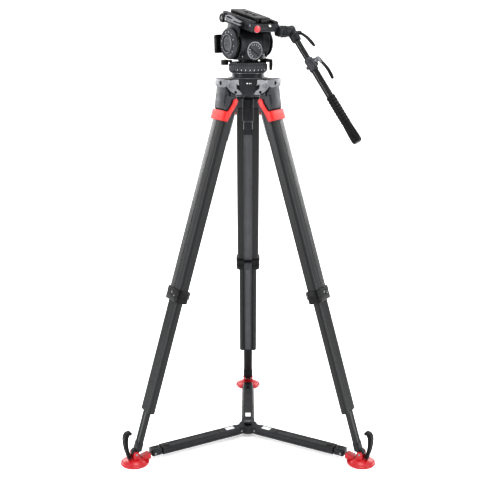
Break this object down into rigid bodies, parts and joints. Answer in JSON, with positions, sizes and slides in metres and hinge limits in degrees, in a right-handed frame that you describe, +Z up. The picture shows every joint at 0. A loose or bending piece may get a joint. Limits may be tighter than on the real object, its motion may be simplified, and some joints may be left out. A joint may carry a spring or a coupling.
{
  "type": "camera tripod",
  "caption": "Fluid-head camera tripod with telescopic carbon legs, red brake levers, a ground spreader, a sliding camera plate and a pan bar.",
  "frame": {"origin": "on the floor, at the middle of the footprint's bounding box", "axes": "+Z up; one leg points along +Y, the other two towards -Y on either side"},
  "size_m": [0.7898, 0.6959, 1.3629],
  "materials": {
    "cast_metal": "fine textured dark grey coating",
    "light_metal": "bead-blasted grey",
    "carbon": "satin carbon fibre",
    "black_plastic": "fine grained black",
    "red_plastic": "satin red",
    "red_rubber": "smooth red rubber",
    "black_rubber": "matte black rubber",
    "steel": "ground",
    "clear_cap": "clear pale cap"
  },
  "bodies": {
    "crown": {"crown": "cast_metal", "bowl": "light_metal"},
    "leg_1": {"leg_yoke_1": "cast_metal", "upper_tube_1": "carbon", "tube_collar_1": "black_plastic"},
    "brake_1": {"brake_lever_1": "red_plastic"},
    "middle_1": {"middle_tube_1": "carbon"},
    "lower_1": {"lower_tube_1": "carbon"},
    "foot_1": {"foot_1": "red_rubber"},
    "strap_1": {"foot_strap_1": "black_rubber"},
    "leg_2": {"leg_yoke_2": "cast_metal", "upper_tube_2": "carbon", "tube_collar_2": "black_plastic"},
    "brake_2": {"brake_lever_2": "red_plastic"},
    "middle_2": {"middle_tube_2": "carbon"},
    "lower_2": {"lower_tube_2": "carbon"},
    "foot_2": {"foot_2": "red_rubber"},
    "strap_2": {"foot_strap_2": "black_rubber"},
    "leg_3": {"leg_yoke_3": "cast_metal", "upper_tube_3": "carbon", "tube_collar_3": "black_plastic"},
    "brake_3": {"brake_lever_3": "red_plastic"},
    "middle_3": {"middle_tube_3": "carbon"},
    "lower_3": {"lower_tube_3": "carbon"},
    "foot_3": {"foot_3": "red_rubber"},
    "strap_3": {"foot_strap_3": "black_rubber"},
    "spreader": {"spreader_hub": "cast_metal", "spreader_cap": "black_plastic", "spreader_sleeve_1": "carbon", "spreader_sleeve_2": "carbon", "spreader_sleeve_3": "carbon"},
    "tip_1": {"spreader_tip_1": "black_plastic"},
    "tip_2": {"spreader_tip_2": "black_plastic"},
    "tip_3": {"spreader_tip_3": "black_plastic"},
    "ball": {"half_ball": "cast_metal", "pan_bearing": "steel"},
    "tie_down": {"tie_down_knob": "black_plastic"},
    "drag_ring": {"pan_drag_ring": "black_plastic"},
    "pan": {"head_housing": "cast_metal", "bubble_level": "clear_cap"},
    "pan_brake": {"pan_brake_lever": "black_plastic"},
    "dial": {"counterbalance_dial": "cast_metal"},
    "tilt_brake": {"tilt_brake_lever": "black_plastic"},
    "drag_disc": {"tilt_drag_disc": "cast_metal"},
    "tilt": {"tilt_platform": "cast_metal", "tilt_drag_unit": "steel", "right_cover": "cast_metal"},
    "plate": {"camera_plate": "black_plastic"},
    "plate_lever": {"plate_lever": "light_metal"},
    "plate_lock": {"plate_lock_knob": "black_plastic"},
    "button": {"release_button": "red_plastic"},
    "bar": {"bar_clamp": "cast_metal", "bar_tube": "carbon"},
    "bar_lever": {"bar_clamp_lever": "black_plastic"},
    "telescope_lever": {"telescope_lever": "black_plastic"},
    "bar_end": {"bar_extension": "carbon", "bar_grip": "black_rubber", "telescope_clamp": "cast_metal"}
  },
  "joints": [
    {"name": "leg_1_spread", "type": "hinge", "parent": "crown", "child": "leg_1", "pos_m": [0, -0.02332, 1.148], "axis": [1, 0, 0], "range_deg": [0, 6]},
    {"name": "brake_1_lift", "type": "hinge", "parent": "leg_1", "child": "brake_1", "pos_m": [0, -0.03687, 1.09994], "axis": [1, 0, 0], "range_deg": [0, 20]},
    {"name": "leg_1_middle", "type": "slide", "parent": "leg_1", "child": "middle_1", "axis": [0, -0.2924, 0.9563], "range_m": [-0.05, 0.37]},
    {"name": "leg_1_lower", "type": "slide", "parent": "middle_1", "child": "lower_1", "axis": [0, -0.2924, 0.9563], "range_m": [-0.25, 0.1]},
    {"name": "foot_1_swivel", "type": "hinge", "parent": "lower_1", "child": "foot_1", "pos_m": [0, 0.30397, 0.034], "axis": [-1, 0, 0], "range_deg": [-20, 20]},
    {"name": "strap_1_release", "type": "hinge", "parent": "foot_1", "child": "strap_1", "pos_m": [0, 0.32297, 0.023], "axis": [-1, 0, 0], "range_deg": [0, 45]},
    {"name": "leg_2_spread", "type": "hinge", "parent": "crown", "child": "leg_2", "pos_m": [-0.06755, -0.14033, 1.148], "axis": [-0.5, 0.866, 0], "range_deg": [0, 6]},
    {"name": "brake_2_lift", "type": "hinge", "parent": "leg_2", "child": "brake_2", "pos_m": [-0.05582, -0.13355, 1.09994], "axis": [-0.5, 0.866, 0], "range_deg": [0, 20]},
    {"name": "leg_2_middle", "type": "slide", "parent": "leg_2", "child": "middle_2", "axis": [0.2532, 0.1462, 0.9563], "range_m": [-0.05, 0.37]},
    {"name": "leg_2_lower", "type": "slide", "parent": "middle_2", "child": "lower_2", "axis": [0.2532, 0.1462, 0.9563], "range_m": [-0.25, 0.1]},
    {"name": "foot_2_swivel", "type": "hinge", "parent": "lower_2", "child": "foot_2", "pos_m": [-0.351, -0.30397, 0.034], "axis": [0.5, -0.866, 0], "range_deg": [-20, 20]},
    {"name": "strap_2_release", "type": "hinge", "parent": "foot_2", "child": "strap_2", "pos_m": [-0.36745, -0.31347, 0.023], "axis": [0.5, -0.866, 0], "range_deg": [0, 45]},
    {"name": "leg_3_spread", "type": "hinge", "parent": "crown", "child": "leg_3", "pos_m": [0.06755, -0.14033, 1.148], "axis": [-0.5, -0.866, 0], "range_deg": [0, 6]},
    {"name": "brake_3_lift", "type": "hinge", "parent": "leg_3", "child": "brake_3", "pos_m": [0.05582, -0.13355, 1.09994], "axis": [-0.5, -0.866, 0], "range_deg": [0, 20]},
    {"name": "leg_3_middle", "type": "slide", "parent": "leg_3", "child": "middle_3", "axis": [-0.2532, 0.1462, 0.9563], "range_m": [-0.05, 0.37]},
    {"name": "leg_3_lower", "type": "slide", "parent": "middle_3", "child": "lower_3", "axis": [-0.2532, 0.1462, 0.9563], "range_m": [-0.25, 0.1]},
    {"name": "foot_3_swivel", "type": "hinge", "parent": "lower_3", "child": "foot_3", "pos_m": [0.351, -0.30397, 0.034], "axis": [0.5, 0.866, 0], "range_deg": [-20, 20]},
    {"name": "strap_3_release", "type": "hinge", "parent": "foot_3", "child": "strap_3", "pos_m": [0.36745, -0.31347, 0.023], "axis": [0.5, 0.866, 0], "range_deg": [0, 45]},
    {"name": "spreader_rise", "type": "slide", "parent": "crown", "child": "spreader", "axis": [0, 0, 1], "range_m": [0, 0.0426]},
    {"name": "arm_1_slide", "type": "slide", "parent": "spreader", "child": "tip_1", "axis": [0, 1, 0], "range_m": [0, 0.1153]},
    {"name": "arm_2_slide", "type": "slide", "parent": "spreader", "child": "tip_2", "axis": [-0.866, -0.5, 0], "range_m": [0, 0.1153]},
    {"name": "arm_3_slide", "type": "slide", "parent": "spreader", "child": "tip_3", "axis": [0.866, -0.5, 0], "range_m": [0, 0.1153]},
    {"name": "head_level", "type": "hinge", "parent": "crown", "child": "ball", "pos_m": [0, -0.10132, 1.166], "axis": [1, 0, 0], "range_deg": [-5, 5]},
    {"name": "tie_down_turn", "type": "hinge", "parent": "ball", "child": "tie_down", "pos_m": [0, -0.10132, 1.071], "axis": [0, 0, 1], "continuous": true},
    {"name": "pan_drag_turn", "type": "hinge", "parent": "ball", "child": "drag_ring", "pos_m": [0, -0.10132, 1.196], "axis": [0, 0, 1], "range_deg": [0, 150]},
    {"name": "pan_turn", "type": "hinge", "parent": "ball", "child": "pan", "pos_m": [0, -0.10132, 1.226], "axis": [0, 0, 1], "continuous": true},
    {"name": "pan_brake_turn", "type": "hinge", "parent": "pan", "child": "pan_brake", "pos_m": [0.05533, -0.10684, 1.214], "axis": [0, 0, 1], "range_deg": [0, 25]},
    {"name": "counterbalance_turn", "type": "hinge", "parent": "pan", "child": "dial", "pos_m": [0.0212, -0.14468, 1.245], "axis": [-0.5299, 0.848, 0], "range_deg": [0, 300]},
    {"name": "tilt_brake_turn", "type": "hinge", "parent": "pan", "child": "tilt_brake", "pos_m": [0, -0.10132, 1.265], "axis": [-0.848, -0.5299, 0], "range_deg": [0, 20]},
    {"name": "tilt_drag_turn", "type": "hinge", "parent": "pan", "child": "drag_disc", "pos_m": [-0.05682, -0.13683, 1.265], "axis": [0.848, 0.5299, 0], "range_deg": [0, 150]},
    {"name": "tilt_turn", "type": "hinge", "parent": "pan", "child": "tilt", "pos_m": [0, -0.10132, 1.265], "axis": [0.848, 0.5299, 0], "range_deg": [-75, 45]},
    {"name": "plate_slide", "type": "slide", "parent": "tilt", "child": "plate", "axis": [-0.5219, 0.8352, 0.1736], "range_m": [-0.03, 0.03]},
    {"name": "plate_lever_swing", "type": "hinge", "parent": "tilt", "child": "plate_lever", "pos_m": [-0.06145, -0.10112, 1.33271], "axis": [-0.092, 0.1473, -0.9848], "range_deg": [0, 45]},
    {"name": "plate_lock_turn", "type": "hinge", "parent": "tilt", "child": "plate_lock", "pos_m": [-0.07534, -0.08077, 1.33706], "axis": [0.848, 0.5299, 0], "range_deg": [0, 90]},
    {"name": "button_press", "type": "slide", "parent": "tilt", "child": "button", "axis": [-0.5219, 0.8352, 0.1736], "range_m": [0, 0.0025], "stiffness_N_per_m": 600},
    {"name": "bar_angle", "type": "hinge", "parent": "tilt", "child": "bar", "pos_m": [0.12629, -0.13737, 1.2996], "axis": [0.848, 0.5299, 0], "range_deg": [-30, 0]},
    {"name": "bar_lever_swing", "type": "hinge", "parent": "bar", "child": "bar_lever", "pos_m": [0.13878, -0.14814, 1.2947], "axis": [-0.6637, -0.7464, -0.0496], "range_deg": [0, 60]},
    {"name": "telescope_lever_swing", "type": "hinge", "parent": "bar_end", "child": "telescope_lever", "pos_m": [0.19777, -0.19577, 1.22195], "axis": [0.5693, -0.547, 0.6137], "range_deg": [0, 80]},
    {"name": "bar_telescope", "type": "slide", "parent": "bar", "child": "bar_end", "axis": [0.4851, -0.379, -0.788], "range_m": [-0.055, 0.085]}
  ],
  "couplings": [
    {"joint": "foot_1_swivel", "follows": "leg_1_spread", "ratio": 1},
    {"joint": "leg_2_spread", "follows": "leg_1_spread", "ratio": 1},
    {"joint": "foot_2_swivel", "follows": "leg_1_spread", "ratio": 1},
    {"joint": "leg_3_spread", "follows": "leg_1_spread", "ratio": 1},
    {"joint": "foot_3_swivel", "follows": "leg_1_spread", "ratio": 1},
    {"joint": "spreader_rise", "follows": "leg_1_spread", "m_per_rad": 0.3971},
    {"joint": "arm_1_slide", "follows": "leg_1_spread", "m_per_rad": 1.0911},
    {"joint": "arm_2_slide", "follows": "leg_1_spread", "m_per_rad": 1.0911},
    {"joint": "arm_3_slide", "follows": "leg_1_spread", "m_per_rad": 1.0911}
  ]
}
